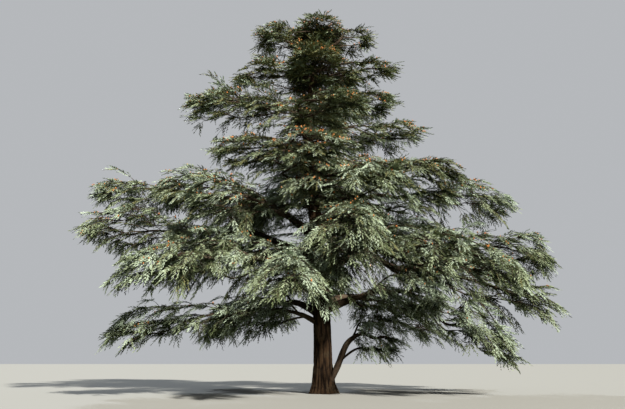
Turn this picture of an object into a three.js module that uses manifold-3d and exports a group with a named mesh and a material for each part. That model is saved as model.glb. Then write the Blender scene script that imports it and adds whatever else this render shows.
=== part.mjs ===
// A large blue cedar: one tapering trunk, its main boughs, and the flat tiers of foliage that they carry.
// Millimetres, +Z up. The origin is the middle of the flat cut under the trunk, at ground level.

import * as THREE from 'three';
import { mergeVertices } from 'three/addons/utils/BufferGeometryUtils.js';
import Module from 'manifold-3d';

// Driving dimensions, in metres unless a name says otherwise
const MILLIMETRES = 1000;
const TRUNK_TOP = 22.6;
const TRUNK_RADIUS = 0.53;
const TRUNK_TIP_RADIUS = 0.03;
const TRUNK_TAPER = 0.85;
const TRUNK_SIDES = 15;
const TRUNK_RINGS = 12;
const RING_CROWDING = 1.5; // rings lie closer together near the ground, where the flare is
const FLARE_REACH = 0.24;
const FLARE_HEIGHT = 0.55;
const FLARE_ROOTS = 5;
const FLARE_RIDGE = 0.3;
const LEAN = [
  [0, 0, 0],
  [-0.05, 0.02, 4],
  [-0.35, 0.05, 9],
  [-0.85, 0.1, 14],
  [-0.6, 0.05, 18.5],
  [-0.25, 0, TRUNK_TOP],
];
const BOUGH_SIDES = 6;
const BOUGH_RINGS = 5;
const BOUGH_TIP_SHARE = 0.55;
const BOUGH_STEEPNESS = 0.55; // how much of its climb a bough has made at its shoulder
const SHOULDER_SHARE = 0.45;
const COLLAR_SHARE = 0.5; // how much thicker a bough is in the collar where it leaves the trunk
const COLLAR_FADE = 7;
const BOUGH_REACH_IN = 0.7; // how far a bough's line runs on into its foliage, where it is cut off
const TIER_SIDES = 8;
const TIER_RINGS = 7;
const TIER_BLUNTNESS = 0.3;
const TIER_SPREAD = 0.3; // a tier is wider towards its tip than near the trunk
const TIER_UNDERSIDE = 0.8;
const TIER_HEAVINESS = 0.2; // a tier is deeper near the trunk than towards its tip
const TIER_LOBES = 0.2; // how far the lobes swell out of a tier's outline and its top
const RIM_LOBES = { waves: 9, shift: 2.4 }; // radians along a tier, and from one tier to the next
const TOP_LOBES = { waves: 7, shift: 1.7 };
const SLIMMEST = 0.001;
const RIM_DROOP = 0.35;
const CLEARANCE = 0.4; // millimetres left between a solid and the one it is cut round
const SHARPEST_SLANT = 0.3;
const HALVINGS = 30;
const UP = new THREE.Vector3(0, 0, 1);
const NORTH = new THREE.Vector3(0, 1, 0);

// Where each bough leaves the trunk, by the height of its root, and where each tier of foliage lies.
// A place is [bearing in degrees from +X, distance from the trunk's foot, height].
const LIMBS = [
  { name: 'base_right', root: 0.5, radius: 0.22, steep: 0.25, tiers: [
    { name: 'base_right', from: [335, 1.6, 3.0], to: [346, 4.3, 2.6], width: 3.2, depth: 2.6, arch: 0.2 },
  ] },
  { name: 'low_left', root: 3.5, radius: 0.17, tiers: [
    { name: 'low_left_inner', from: [190, 1.6, 4.3], to: [195, 6, 4.1], width: 4.2, depth: 2.9, arch: 0.2 },
    { name: 'low_left_outer', from: [194, 5.6, 3.9], to: [196, 11.5, 2.8], width: 4.8, depth: 2.4, arch: 0.4 },
  ] },
  { name: 'low_right', root: 4.3, radius: 0.22, tiers: [
    { name: 'low_right_inner', from: [343, 2.7, 5.2], to: [344, 7, 4.8], width: 4.4, depth: 2.7, arch: 0.3 },
    { name: 'low_right_outer', from: [344, 6.6, 4.4], to: [345, 9.8, 1.7], width: 4.8, depth: 2.8, arch: 0.3 },
  ] },
  { name: 'low_back_left', root: 4.1, radius: 0.24, tiers: [
    { name: 'low_back_left', from: [128, 3, 5.1], to: [130, 12.2, 3.4], width: 6.6, depth: 2.8, arch: 0.7 },
  ] },
  { name: 'low_back_right', root: 4.7, radius: 0.25, tiers: [
    { name: 'low_back_right', from: [53, 3, 5.4], to: [51, 12.5, 3.2], width: 6.8, depth: 2.8, arch: 0.7 },
  ] },
  { name: 'low_front', root: 4.9, radius: 0.2, tiers: [
    { name: 'low_front', from: [258, 2, 6.2], to: [260, 11.2, 4.5], width: 6.8, depth: 2.5, arch: 0.4 },
  ] },
  { name: 'mid_front_left', root: 5.8, radius: 0.24, tiers: [
    { name: 'mid_front_left', from: [212, 2.2, 7.1], to: [215, 11.8, 5.6], width: 6.8, depth: 3, arch: 0.5 },
  ] },
  { name: 'mid_left', root: 6.9, radius: 0.26, tiers: [
    { name: 'mid_left_inner', from: [181, 3.1, 8.4], to: [181, 9, 8.8], width: 4.8, depth: 2.8, arch: 0.2 },
    { name: 'mid_left_outer', from: [181, 8.5, 8.9], to: [179, 13.6, 9.2], width: 5, depth: 2.8, arch: 0.2 },
  ] },
  { name: 'mid_right', root: 6.2, radius: 0.26, tiers: [
    { name: 'mid_right_inner', from: [358, 2.9, 8], to: [2, 8.2, 8.2], width: 5, depth: 3.2, arch: 0.2 },
    { name: 'mid_right_outer', from: [2, 7.7, 8], to: [2, 13.5, 7.3], width: 5.6, depth: 2.7, arch: 0.4 },
    { name: 'mid_right_under', from: [345, 3.4, 6.4], to: [354, 13, 4.4], width: 4.8, depth: 2.4, arch: 0.4 },
  ] },
  { name: 'mid_front_right', root: 5.6, radius: 0.23, tiers: [
    { name: 'mid_front_right_inner', from: [284, 1.9, 7.8], to: [281, 9.4, 6.9], width: 8, depth: 3.6, arch: 0.4 },
    { name: 'mid_front_right_outer', from: [309, 4.6, 7.2], to: [320, 11.8, 5.2], width: 6, depth: 2.6, arch: 0.5 },
  ] },
  { name: 'mid_back_left', root: 6.6, radius: 0.25, tiers: [
    { name: 'mid_back_left', from: [149, 3, 8.1], to: [151, 13, 7.3], width: 6.8, depth: 2.9, arch: 0.6 },
  ] },
  { name: 'mid_back', root: 6.1, radius: 0.24, tiers: [
    { name: 'mid_back', from: [92, 2.8, 7.7], to: [90, 12.7, 6.1], width: 7, depth: 2.9, arch: 0.7 },
  ] },
  { name: 'mid_back_right', root: 7.3, radius: 0.24, tiers: [
    { name: 'mid_back_right', from: [32, 3, 8.7], to: [29, 12.7, 8], width: 6.6, depth: 2.8, arch: 0.6 },
  ] },
  { name: 'high_left', root: 8.2, radius: 0.22, tiers: [
    { name: 'high_left_inner', from: [173, 3.4, 10.7], to: [173, 10.3, 11.7], width: 5, depth: 2.9, arch: 0.3 },
    { name: 'high_left_outer', from: [174, 9.7, 11.5], to: [176, 13.5, 11.4], width: 4, depth: 2.1, arch: 0.2 },
  ] },
  { name: 'high_front_left', root: 8.7, radius: 0.15, tiers: [
    { name: 'high_front_left', from: [200, 3.4, 9.9], to: [208, 7.8, 10.1], width: 4.6, depth: 2.2, arch: 0.2 },
  ] },
  { name: 'high_right', root: 9.3, radius: 0.22, tiers: [
    { name: 'high_right_inner', from: [4, 2.4, 10.8], to: [6, 7.7, 11.3], width: 4.8, depth: 2.8, arch: 0.2 },
    { name: 'high_right_outer', from: [6, 7.1, 11.2], to: [4, 11.4, 10.6], width: 4.2, depth: 2.4, arch: 0.2 },
  ] },
  { name: 'upper_left', root: 13.2, radius: 0.13, steep: 0.9, tiers: [
    { name: 'upper_left', from: [189, 1.9, 16.1], to: [185, 8.3, 16], width: 4.6, depth: 2.2, arch: 0.4 },
  ] },
];

// Tiers with no length of bare bough before them: they start round the trunk, or beside another tier
const TRUNK_TIERS = [
  { name: 'high_front', root: 10.9, to: [288, 8.4, 9.8], width: 8, depth: 2.6, arch: 0.4 },
  { name: 'high_back_left', root: 11.5, to: [122, 10.6, 11], width: 6.4, depth: 2.8, arch: 0.6 },
  { name: 'high_back_right', root: 10.9, to: [66, 10.8, 10.6], width: 6.6, depth: 2.8, arch: 0.6 },
  { name: 'crown_left', root: 13.5, to: [186, 6.6, 13.5], width: 4.4, depth: 2.7, arch: 0.3 },
  { name: 'crown_right', root: 14.6, to: [358, 6.4, 14.8], width: 4, depth: 1.9, arch: 0.2 },
  { name: 'crown_right_under', root: 12.8, to: [352, 8.7, 11.9], width: 4.4, depth: 2, arch: 0.4 },
  { name: 'crown_front', root: 13, to: [258, 6.4, 12.1], width: 7.2, depth: 2.4, arch: 0.2 },
  { name: 'crown_back', root: 14.2, to: [97, 8.2, 13.8], width: 6, depth: 2.9, arch: 0.4 },
  { name: 'upper_front', root: 15.7, to: [276, 5.2, 15], width: 6, depth: 2.4, arch: 0.2 },
  { name: 'upper_right', root: 16.9, to: [0, 4.5, 16.8], width: 4, depth: 2.3, arch: 0.2 },
  { name: 'upper_back', root: 16.9, to: [88, 6.4, 16.7], width: 5.2, depth: 2.7, arch: 0.3 },
  { name: 'shelf_body', from: [262, 3, 18.9], to: [84, 3.9, 19.2], width: 4.6, depth: 2.5, arch: 0.2 },
  { name: 'shelf_left', from: [187, 1.4, 19], to: [187, 5.4, 18.1], width: 3.6, depth: 1.9, arch: 0.2 },
  { name: 'shelf_right', from: [350, 0.9, 18.7], to: [357, 4.5, 18.8], width: 3.4, depth: 1.9, arch: 0.2 },
  { name: 'head_middle', from: [264, 1.9, 21.4], to: [84, 2, 21.4], width: 3.8, depth: 2.3, arch: 0.2 },
  { name: 'head_left', from: [180, 0.7, 20.8], to: [183, 4.2, 21.4], width: 3.2, depth: 2, arch: 0.1 },
  { name: 'head_right', from: [355, 0.3, 20.8], to: [0, 3.4, 21.3], width: 3, depth: 2.1, arch: 0.1 },
];

const wasm = await Module();
wasm.setup();

// A point from a bearing, a distance and a height
function place([bearing, distance, height]) {
  const angle = THREE.MathUtils.degToRad(bearing);
  const point = new THREE.Vector3(Math.cos(angle) * distance, Math.sin(angle) * distance, height);
  return point.multiplyScalar(MILLIMETRES);
}

const trunkLine = new THREE.CatmullRomCurve3(
  LEAN.map((point) => new THREE.Vector3(...point).multiplyScalar(MILLIMETRES)),
);

// The middle of the trunk at a height in metres, found by halving the stretch of its line
function trunkAt(height) {
  let low = 0;
  let high = 1;
  for (let halving = 0; halving < HALVINGS; halving += 1) {
    const middle = (low + high) / 2;
    if (trunkLine.getPoint(middle).z < height * MILLIMETRES) low = middle;
    else high = middle;
  }
  return trunkLine.getPoint(low);
}

// A closed base shape whose axis is -Y, bent so that its axis follows a line.
// section(t, x, z) gives the offsets [sideways, upwards] of the point that was at x, z on the base.
// Each cross-section faces along the line, unless facing gives it a direction of its own.
function shaped(base, line, upright, section, facing = (t) => line.getTangent(t)) {
  base.deleteAttribute('normal');
  base.deleteAttribute('uv');
  const geometry = mergeVertices(base);
  const position = geometry.attributes.position;
  const point = new THREE.Vector3();
  for (let i = 0; i < position.count; i += 1) {
    point.fromBufferAttribute(position, i);
    const t = THREE.MathUtils.clamp((1 - point.y) / 2, 0, 1);
    const along = facing(t);
    const side = new THREE.Vector3().crossVectors(upright, along).normalize();
    const up = new THREE.Vector3().crossVectors(along, side).normalize();
    const [sideways, upwards] = section(t, point.x, point.z);
    point.copy(line.getPoint(t)).addScaledVector(side, sideways).addScaledVector(up, upwards);
    position.setXYZ(i, point.x, point.y, point.z);
  }
  return geometry;
}

// The same shape, larger by the clearance all round, to cut its neighbours with.
// Each corner moves out far enough for all the faces that meet there to move by the clearance.
function grown(geometry) {
  const larger = geometry.clone();
  const position = geometry.attributes.position;
  const corners = geometry.index.array;
  const facing = Array.from({ length: position.count }, () => []);
  const triangle = new THREE.Triangle();
  for (let i = 0; i < corners.length; i += 3) {
    const face = corners.slice(i, i + 3);
    triangle.setFromAttributeAndIndices(position, ...face);
    const normal = triangle.getNormal(new THREE.Vector3());
    face.forEach((corner) => facing[corner].push(normal));
  }
  facing.forEach((normals, i) => {
    const outward = normals.reduce((sum, normal) => sum.add(normal), new THREE.Vector3()).normalize();
    const slant = Math.min(...normals.map((normal) => normal.dot(outward)));
    const point = new THREE.Vector3().fromBufferAttribute(position, i);
    point.addScaledVector(outward, CLEARANCE / Math.max(slant, SHARPEST_SLANT));
    larger.attributes.position.setXYZ(i, point.x, point.y, point.z);
  });
  return larger;
}

function solidOf(geometry) {
  return new wasm.Manifold(new wasm.Mesh({
    numProp: 3,
    vertProperties: new Float32Array(geometry.attributes.position.array),
    triVerts: new Uint32Array(geometry.index.array),
  }));
}

function geometryOf(solid) {
  const { numProp, vertProperties, triVerts } = solid.getMesh();
  const positions = new Float32Array((vertProperties.length / numProp) * 3);
  for (let i = 0; i < positions.length / 3; i += 1) {
    positions.set(vertProperties.subarray(i * numProp, i * numProp + 3), i * 3);
  }
  const geometry = new THREE.BufferGeometry();
  geometry.setAttribute('position', new THREE.BufferAttribute(positions, 3));
  geometry.setIndex(new THREE.BufferAttribute(new Uint32Array(triVerts), 1));
  geometry.computeVertexNormals();
  return geometry;
}

function boxesMeet(first, second) {
  const a = first.boundingBox();
  const b = second.boundingBox();
  return [0, 1, 2].every((axis) => a.min[axis] <= b.max[axis] && b.min[axis] <= a.max[axis]);
}

// What is left of a shape once it is cut round its neighbours: the one piece that scores highest
function cutRound(geometry, cutters, score) {
  const solid = solidOf(geometry);
  const near = cutters.filter((cutter) => boxesMeet(solid, cutter));
  const rest = near.reduce((whole, cutter) => whole.subtract(cutter), solid);
  const pieces = rest.decompose();
  return pieces.reduce((best, piece) => (score(piece) > score(best) ? piece : best));
}

// The trunk: a tapering round, with ridges that run out into its root flare.
// Its cross-sections are level, so that the cut at the ground is.
function trunkShape() {
  const base = new THREE.CylinderGeometry(1, 1, 2, TRUNK_SIDES, TRUNK_RINGS);
  const position = base.attributes.position;
  for (let i = 0; i < position.count; i += 1) {
    const t = (1 - position.getY(i)) / 2;
    position.setY(i, 1 - 2 * t ** RING_CROWDING);
  }
  const section = (t, x, z) => {
    const taper = (1 - t) ** TRUNK_TAPER;
    const height = t * TRUNK_TOP;
    const ridges = 1 + FLARE_RIDGE * Math.cos(FLARE_ROOTS * Math.atan2(z, x));
    const flare = FLARE_REACH * Math.exp(-height / FLARE_HEIGHT) * ridges;
    const radius = (TRUNK_TIP_RADIUS + TRUNK_RADIUS * taper + flare) * MILLIMETRES;
    return [x * radius, z * radius];
  };
  return shaped(base, trunkLine, NORTH, section, () => UP);
}

// A bough: a tapering round with a collar, from inside the trunk, up and out to just inside its foliage
function boughShape({ root, radius, steep = BOUGH_STEEPNESS, tiers }) {
  const start = trunkAt(root);
  const entry = place(tiers[0].from);
  const climb = new THREE.Vector3(SHOULDER_SHARE, SHOULDER_SHARE, steep);
  const shoulder = entry.clone().sub(start).multiply(climb).add(start);
  const onward = place(tiers[0].to).sub(entry).setLength(BOUGH_REACH_IN * MILLIMETRES);
  const end = entry.clone().add(onward);
  const line = new THREE.CatmullRomCurve3([start, shoulder, entry, end], false, 'centripetal');
  const base = new THREE.CylinderGeometry(1, 1, 2, BOUGH_SIDES, BOUGH_RINGS);
  return shaped(base, line, UP, (t, x, z) => {
    const collar = 1 + COLLAR_SHARE * Math.exp(-COLLAR_FADE * t);
    const thickness = radius * MILLIMETRES * (1 - (1 - BOUGH_TIP_SHARE) * t) * collar;
    return [x * thickness, z * thickness];
  });
}

// A tier of foliage: a flat, lobed pad with a domed top and a drooping rim, blunt at both ends.
// Its line lies on a curve that comes halfway to its middle point, so that point rises twice the arch.
function tierShape({ root, from, to, width, depth, arch }, number) {
  const start = from ? place(from) : trunkAt(root);
  const end = place(to);
  const middle = start.clone().add(end).multiplyScalar(0.5);
  middle.addScaledVector(UP, 2 * arch * MILLIMETRES);
  const line = new THREE.QuadraticBezierCurve3(start, middle, end);
  const wave = (lobes, t, side) => Math.sin(lobes.waves * t + lobes.shift * number + side);
  const base = new THREE.SphereGeometry(1, TIER_SIDES, TIER_RINGS);
  return shaped(base, line, UP, (t, x, z) => {
    const slimness = Math.max(Math.hypot(x, z), SLIMMEST);
    const blunt = slimness ** -TIER_BLUNTNESS;
    const spread = 1 + TIER_SPREAD * (2 * t - 1);
    const rim = 1 + TIER_LOBES * wave(RIM_LOBES, t, Math.sign(x)) * Math.abs(x / slimness);
    const top = 1 + TIER_LOBES * wave(TOP_LOBES, t, 0) * Math.abs(z / slimness);
    const underside = z > 0 ? 1 : TIER_UNDERSIDE;
    const heavy = 1 + TIER_HEAVINESS * (1 - 2 * t);
    const sideways = x * blunt * spread * rim * (width / 2);
    const upwards = z * blunt * underside * top * heavy * (depth / 2) - RIM_DROOP * depth * x * x;
    return [sideways * MILLIMETRES, upwards * MILLIMETRES];
  });
}

const bark = new THREE.MeshStandardMaterial({ color: 0x4f3d2e, roughness: 0.95, metalness: 0 });
const limbBark = new THREE.MeshStandardMaterial({ color: 0x5b4836, roughness: 0.95, metalness: 0 });
const needles = new THREE.MeshStandardMaterial({ color: 0x7d8c7c, roughness: 0.8, metalness: 0 });

const tree = new THREE.Group();

function add(name, geometry, material) {
  const mesh = new THREE.Mesh(geometry, material.clone());
  mesh.name = name;
  tree.add(mesh);
}

const trunk = trunkShape();
add('trunk', trunk, bark);
const trunkCutter = solidOf(grown(trunk));

// Each tier is cut round the trunk and round the tiers before it
const tierCutters = [];
const tiers = [...LIMBS.flatMap((limb) => limb.tiers), ...TRUNK_TIERS];
tiers.forEach((tier, number) => {
  const shape = tierShape(tier, number);
  const solid = cutRound(shape, [trunkCutter, ...tierCutters], (piece) => piece.volume());
  add(`foliage_${tier.name}`, geometryOf(solid), needles);
  tierCutters.push(solidOf(grown(shape)));
});

// Each bough is cut round the trunk and ends where it enters a tier: the piece next to the trunk is kept
const boughCutters = [];
LIMBS.forEach((limb) => {
  const shape = boughShape(limb);
  const foot = trunkAt(limb.root);
  const nearness = (piece) => {
    const { min, max } = piece.boundingBox();
    const box = new THREE.Box3(new THREE.Vector3(...min), new THREE.Vector3(...max));
    return -box.distanceToPoint(foot);
  };
  const solid = cutRound(shape, [trunkCutter, ...tierCutters, ...boughCutters], nearness);
  add(`bough_${limb.name}`, geometryOf(solid), limbBark);
  boughCutters.push(solidOf(grown(shape)));
});

export default tree;
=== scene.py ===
# %% [markdown]
# # A large blue cedar
# The tree is 23 metres high and 27 metres across: a thick dark trunk, long boughs, and flat tiers of
# silvery needles with gaps between them. It could be sculpted by hand or scattered with particles, but a
# real cedar is the result of a few simple rules of growth, repeated thousands of times. So this scene
# grows it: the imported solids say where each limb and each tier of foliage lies, and seeded rules grow
# bark, boughs, twigs, needles and cones in and around them.

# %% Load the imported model
import itertools
import math

import bpy
import numpy as np
from mathutils.bvhtree import BVHTree
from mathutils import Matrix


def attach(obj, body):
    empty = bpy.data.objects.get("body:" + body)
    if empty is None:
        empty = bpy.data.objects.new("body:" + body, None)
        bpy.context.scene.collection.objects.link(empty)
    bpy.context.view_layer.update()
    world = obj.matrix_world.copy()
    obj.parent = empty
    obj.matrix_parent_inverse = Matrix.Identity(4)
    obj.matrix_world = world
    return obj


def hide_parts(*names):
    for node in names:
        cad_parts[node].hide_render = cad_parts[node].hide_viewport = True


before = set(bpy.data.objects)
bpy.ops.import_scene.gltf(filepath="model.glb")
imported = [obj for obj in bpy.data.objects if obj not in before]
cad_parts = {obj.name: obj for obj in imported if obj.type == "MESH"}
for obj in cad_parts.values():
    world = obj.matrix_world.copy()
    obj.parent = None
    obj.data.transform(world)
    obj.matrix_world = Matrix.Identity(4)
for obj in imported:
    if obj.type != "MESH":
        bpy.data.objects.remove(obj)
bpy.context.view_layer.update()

SEED = 1871
chance = np.random.default_rng(SEED)
print("packed nodes:", len(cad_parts))

# %% [markdown]
# ## Reading the solids
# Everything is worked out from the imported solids, so that the tree keeps their true size. Each solid is
# a mesh of loose triangles. It is joined up first, then asked three things: where a plane cuts it, how
# far it is to its surface in a direction, and how high and how low it is over a place (x, y).

# %% Read and measure a solid
UP = np.array([0.0, 0.0, 1.0])
LEVEL = np.array([1.0, 1.0, 0.0])


def shape_of(node):
    """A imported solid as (corners, triangles). Corners that agree to 0.1 mm become one."""
    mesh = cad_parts[node].data
    places = np.empty(len(mesh.vertices) * 3)
    mesh.vertices.foreach_get("co", places)
    mesh.calc_loop_triangles()
    loose = np.empty(len(mesh.loop_triangles) * 3, dtype=np.int32)
    mesh.loop_triangles.foreach_get("vertices", loose)
    corners, joined = np.unique(np.round(places.reshape(-1, 3), 4), axis=0, return_inverse=True)
    return corners, joined.reshape(-1)[loose].reshape(-1, 3)


def cut(shape, point, direction):
    """The points where a solid's edges pass through the plane through point, square to direction."""
    corners, triangles = shape
    edges = np.concatenate([triangles[:, [0, 1]], triangles[:, [1, 2]], triangles[:, [2, 0]]])
    height = (corners - point) @ direction
    edges = edges[(height[edges[:, 0]] < 0) != (height[edges[:, 1]] < 0)]
    start, end = height[edges[:, 0]], height[edges[:, 1]]
    share = (start / (start - end))[:, None]
    return corners[edges[:, 0]] * (1 - share) + corners[edges[:, 1]] * share


def unit(vectors):
    """Vectors made one long, along the last axis."""
    return vectors / np.maximum(np.linalg.norm(vectors, axis=-1, keepdims=True), 1e-9)


def reach(tree, start, direction, furthest=80.0):
    """How far it is from start to the surface in a direction, or None where there is none."""
    return tree.ray_cast(list(start), list(direction), furthest)[3]


BELOW_ALL, ABOVE_ALL = -10, 40  # heights under and over the whole tree


def floor_and_roof(tree, x, y):
    """The heights of the lowest and the highest point of a solid over a place (x, y), or None."""
    up, down = reach(tree, (x, y, BELOW_ALL), UP), reach(tree, (x, y, ABOVE_ALL), -UP)
    return None if up is None or down is None else (up + BELOW_ALL, ABOVE_ALL - down)


# %% [markdown]
# ## The trunk's line
# The trunk leans and sways on its way up, and its foot spreads into a root flare. Level slices through
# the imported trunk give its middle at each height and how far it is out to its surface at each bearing.

# %% Slice the trunk
TRUNK_COLUMNS = 120
BEARINGS = np.linspace(0, 2 * math.pi, TRUNK_COLUMNS, endpoint=False)
trunk_shape = shape_of("trunk")
TRUNK_TOP = float(trunk_shape[0][:, 2].max())
SLICES = 48
CROWDING = 1.4  # above 1, slices lie closer together near the foot
END_GAP = 0.001  # of the height, left out at either end
slice_heights = TRUNK_TOP * np.linspace(END_GAP, 1, SLICES) ** CROWDING * (1 - END_GAP)


def level_slice(height):
    """The middle of a slice's area, then the distance out to its rim at each of the bearings."""
    rim = cut(trunk_shape, UP * height, UP)[:, :2]
    guess = rim.mean(0)
    rim = rim - guess
    rim = rim[np.argsort(np.arctan2(rim[:, 1], rim[:, 0]))]
    after = np.roll(rim, -1, axis=0)
    twice = rim[:, 0] * after[:, 1] - after[:, 0] * rim[:, 1]
    middle = ((rim + after) * twice[:, None]).sum(0) / (3 * twice.sum())
    out = rim - middle
    angles = np.arctan2(out[:, 1], out[:, 0])
    distance = np.interp(BEARINGS, angles, np.hypot(out[:, 0], out[:, 1]), period=2 * math.pi)
    return np.concatenate([guess + middle, distance])


trunk_slices = np.array([level_slice(height) for height in slice_heights])


def trunk_middle(heights):
    """The middle of the trunk at one height or several."""
    x, y = (np.interp(heights, slice_heights, trunk_slices[:, k]) for k in (0, 1))
    return np.stack([x, y, np.asarray(heights, float)], axis=-1)


def trunk_radius(heights):
    """The mean radius of the trunk at one height or several."""
    return np.interp(heights, slice_heights, trunk_slices[:, 2:].mean(1))


print("trunk radius at 0, 1.5 and 10 m:", np.round(trunk_radius([0, 1.5, 10]), 2))

# %% [markdown]
# ## The limbs' lines
# A bough leaves the trunk, runs out bare, then goes on inside its tiers of foliage to their tips. Its
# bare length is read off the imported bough, by cutting that across in several places. Inside a tier it
# soon forks, one limb above the other, so that each shelf of needles has a limb of its own. Cuts across
# the tier say how wide and how deep it is there, and its limbs share out that depth. The tiers that the
# trunk itself carries have limbs at each level that leave the trunk one by one. Around the top these run
# to every side, in a whorl.

# %% Follow a limb through its bough and its tiers
STOP_SPACING = 0.14
FEWEST_STOPS = 8
ROUNDING = 14
TIP_RADIUS = 0.012
BOUGH_CUTS = np.linspace(0.1, 0.95, 7)
BOUGH_START = 0.9  # of the way back from a bough's first cut to the middle of the trunk
BOUGH_SWELL = 1.1  # and how much stouter it is there
TIER_CUTS = (0.08, 0.2, 0.34, 0.48, 0.62, 0.75, 0.87)
TIER_START = 0.3  # metres from the middle of the trunk, before which a tier isn't cut
CORE = 0.5  # the share of a tier's width, about its middle, in which its depth is read
WHORL = 6  # limbs of one level, where a tier goes all round the trunk
WHORL_REACH = 0.9  # metres that such a tier covers to every side
FAR_OUT = 30.0  # metres, past every tier's rim


def smooth_path(points, radii):
    """Even stops (x, y, z, radius) along a line, with its kinks rounded by averaging neighbours."""
    points = np.array(points)
    along = np.append(0, np.cumsum(np.linalg.norm(np.diff(points, axis=0), axis=1)))
    stops = np.linspace(0, along[-1], max(FEWEST_STOPS, int(along[-1] / STOP_SPACING)))
    path = np.stack([np.interp(stops, along, column) for column in (*points.T, np.array(radii))], axis=1)
    for _ in range(ROUNDING):
        path[1:-1] = path[:-2] / 4 + path[1:-1] / 2 + path[2:] / 4
    return path


def bough_line(node):
    """The middles and mean radii of cuts across a bough, from inside the trunk outwards. The cuts are
    square to the direction in which its corners spread most."""
    shape = shape_of(node)
    corners = shape[0]
    middle = corners.mean(0)
    axis = np.linalg.svd(corners - middle)[2][0]
    along = (corners - middle) @ axis
    ends = [middle + axis * end - trunk_middle(middle[2]) for end in (along.min(), along.max())]
    if np.linalg.norm(ends[0]) > np.linalg.norm(ends[1]):
        axis, along = -axis, -along
    places = [middle + axis * (along.min() + np.ptp(along) * share) for share in BOUGH_CUTS]
    rings = [cut(shape, spot, axis) for spot in places]
    points = [ring.mean(0) for ring in rings]
    radii = [np.linalg.norm(ring - ring.mean(0), axis=1).mean() for ring in rings]
    inward = np.linalg.norm(points[0] - trunk_middle(points[0][2]))
    back = points[0] + unit(points[0] - points[1]) * inward * BOUGH_START
    return [back, *points], [radii[0] * BOUGH_SWELL, *radii]


def cuts_across(shape, heart, ahead):
    """Rows (x, y, underside, top) along the middle of a tier, on its way ahead from the trunk."""
    aside = np.cross(UP, ahead)
    along = (shape[0] - heart) @ ahead
    near, far = max(along.min(), TIER_START), along.max()
    rows = []
    for share in TIER_CUTS:
        spot = heart + ahead * (near + (far - near) * share)
        rim = cut(shape, spot, ahead)
        across = (rim - heart) @ aside
        middle, half = (across.max() + across.min()) / 2, np.ptp(across) / 2
        core = rim[np.abs(across - middle) <= CORE * half][:, 2]
        core = core if len(core) > 1 else rim[:, 2]
        rows.append([*(spot + aside * middle)[:2], core.min(), core.max()])
    return np.array(rows)


def cuts_of(tier, heart):
    """The rows of cuts for each direction in which a tier runs out from the trunk: one direction, or
    a whole whorl where it goes all round."""
    shape, tree = shapes[tier], trees[tier]
    turns = 2 * math.pi * (np.arange(WHORL) + chance.random()) / WHORL
    ways = np.column_stack([np.cos(turns), np.sin(turns), np.zeros(WHORL)])
    rims = [FAR_OUT - (reach(tree, heart + way * FAR_OUT, -way) or FAR_OUT) for way in ways]
    if min(rims) < WHORL_REACH:
        flat = (shape[0] - heart) * LEVEL
        return [cuts_across(shape, heart, unit(flat[np.argmax(np.linalg.norm(flat, axis=1))]))]
    whorl = []
    for way, rim in zip(ways, rims):
        spots = [(heart + way * rim * share)[:2] for share in TIER_CUTS]
        spans = [(spot, floor_and_roof(tree, *spot)) for spot in spots]
        whorl.append(np.array([[*spot, *span] for spot, span in spans if span is not None]))
    return whorl


def carrier_of(tier):
    """What carries a tier: the tier before it on its bough, its own bough, or else the trunk."""
    stem = tier.rsplit("_", 1)[0]
    if tier.endswith(("_outer", "_under")) and f"foliage_{stem}_inner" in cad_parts:
        return f"foliage_{stem}_inner"
    bough = f"bough_{stem}" if tier.endswith("_inner") else f"bough_{tier}"
    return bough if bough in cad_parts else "trunk"


# %% Draw every limb
SHELF_HEIGHTS, SHELF_DEPTHS = (6, 16), (0.68, 0.5)  # how deep a shelf is in tiers at these heights
LEVELS = (0, 0.88)  # where shelves lie within a tier, from 0 at the underside to 1 at the top
TRUNK_LEVELS = (0, 0.76)  # and in a tier on the trunk
LIMB_LEVEL = 0.4  # the level of a tier's stoutest limb
OPENING = np.array([0.7, 0.9, 1, 1, 1, 1, 0.9])  # how far the limbs have parted at each cut
SWAY = (0.18, 0.18, 0.17)  # how far chance moves a limb's line at each cut
TRUNK_LIMB_RADIUS = 0.018
TRUNK_LIMB_THICKENING = 0.009  # for each metre of its length
STOUTEST = 0.8  # of the trunk's radius
ROOT_DROP = 0.3  # how far a limb's root on the trunk lies below its first cut, or below the trunk's top
TIP_SHARE = (0, 0.25)  # how far a tier's first limb goes past the last cut, in steps between cuts
FORK_BACK = (1.0, 2.2)  # metres from a fork to its first cut: in a bough's first tier, and in later ones
FORK_SHARES = (0.9, 0.42)  # a fork's share of the limb's radius: on to the next tier, and within its own
FIRST_FORK = 4  # the first stop of a limb at which it forks
tiers = [node.removeprefix("foliage_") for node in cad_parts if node.startswith("foliage_")]
tiers = sorted(tiers, key=lambda tier: (tier.endswith(("_outer", "_under")), tier))
shapes = {tier: shape_of(f"foliage_{tier}") for tier in tiers}
trees = {tier: BVHTree.FromPolygons(shapes[tier][0].tolist(), shapes[tier][1].tolist()) for tier in tiers}
limbs = {}  # for each tier, its limbs as (path, level), the stoutest first


def bare_part(tier, line, main):
    """Points and radii of a limb before its tier: from the trunk, along its bough, or from the limb that
    it forks off, which is main or else belongs to the tier before."""
    carrier = carrier_of(tier)
    if carrier == "trunk":
        start = trunk_middle(min(line[0][2] - ROOT_DROP, TRUNK_TOP - ROOT_DROP))
        root = TRUNK_LIMB_RADIUS + TRUNK_LIMB_THICKENING * np.linalg.norm(line[-1] - start)
        return [start], [min(root, STOUTEST * trunk_radius(start[2]))]
    if main is None and carrier.startswith("bough"):
        return bough_line(carrier)
    stem = limbs[carrier.removeprefix("foliage_")][0][0] if main is None else main
    nearest = int(np.argmin(np.linalg.norm(stem[:, :3] - line[0], axis=1)))
    back = FORK_BACK[carrier.startswith("foliage")]
    fork = stem[max(nearest - int(back / STOP_SPACING), FIRST_FORK)]
    return [fork[:3]], [fork[3] * FORK_SHARES[main is not None]]


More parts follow.
